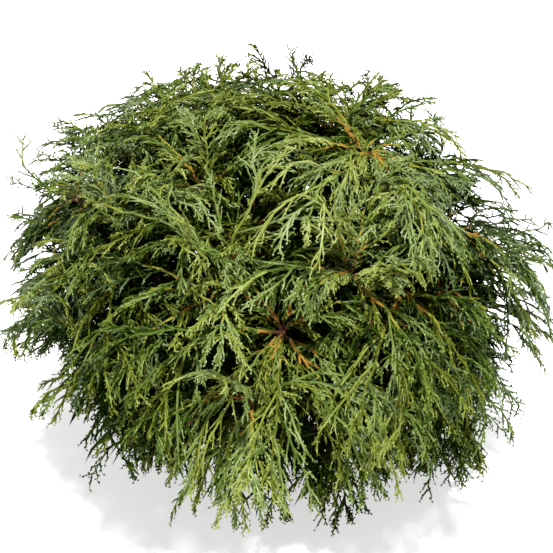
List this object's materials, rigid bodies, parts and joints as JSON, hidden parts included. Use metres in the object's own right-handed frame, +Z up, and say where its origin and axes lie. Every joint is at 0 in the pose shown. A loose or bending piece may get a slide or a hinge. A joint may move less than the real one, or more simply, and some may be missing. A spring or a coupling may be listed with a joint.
{
  "type": "weeping conifer shrub",
  "caption": "Young thread-leaved evergreen shrub: a low, dense mound of drooping yellow-green threads on a short stem, cut flat at the ground.",
  "frame": {"origin": "centre of the flat cut under the stem, at ground level", "axes": "+Z up, -Y towards the viewer of the reference picture and +X to that viewer's right"},
  "size_m": [0.3933, 0.4029, 0.2883],
  "materials": {
    "bark": "rough fibrous bark",
    "foliage": "satin scale leaves"
  },
  "bodies": {
    "root": {"stem": "bark", "bough_crown_1": "bark", "bough_crown_2": "bark", "bough_crown_3": "bark", "bough_shoulder_1": "bark", "bough_shoulder_2": "bark", "bough_shoulder_3": "bark", "bough_shoulder_4": "bark", "bough_shoulder_5": "bark", "bough_shoulder_6": "bark", "bough_shoulder_7": "bark", "bough_shoulder_8": "bark", "bough_waist_1": "bark", "bough_waist_2": "bark", "bough_waist_3": "bark", "bough_waist_4": "bark", "bough_waist_5": "bark", "bough_waist_6": "bark", "bough_waist_7": "bark", "bough_hem_1": "bark", "bough_hem_2": "bark", "bough_hem_3": "bark", "bough_hem_4": "bark", "bough_hem_5": "bark", "bough_hem_6": "bark", "foliage_tip": "foliage", "foliage_crown_1": "foliage", "foliage_crown_2": "foliage", "foliage_crown_3": "foliage", "foliage_shoulder_1": "foliage", "foliage_shoulder_2": "foliage", "foliage_shoulder_3": "foliage", "foliage_shoulder_4": "foliage", "foliage_shoulder_5": "foliage", "foliage_shoulder_6": "foliage", "foliage_shoulder_7": "foliage", "foliage_shoulder_8": "foliage", "foliage_waist_1": "foliage", "foliage_waist_2": "foliage", "foliage_waist_3": "foliage", "foliage_waist_4": "foliage", "foliage_waist_5": "foliage", "foliage_waist_6": "foliage", "foliage_waist_7": "foliage", "foliage_hem_1": "foliage", "foliage_hem_2": "foliage", "foliage_hem_3": "foliage", "foliage_hem_4": "foliage", "foliage_hem_5": "foliage", "foliage_hem_6": "foliage"}
  },
  "joints": []
}
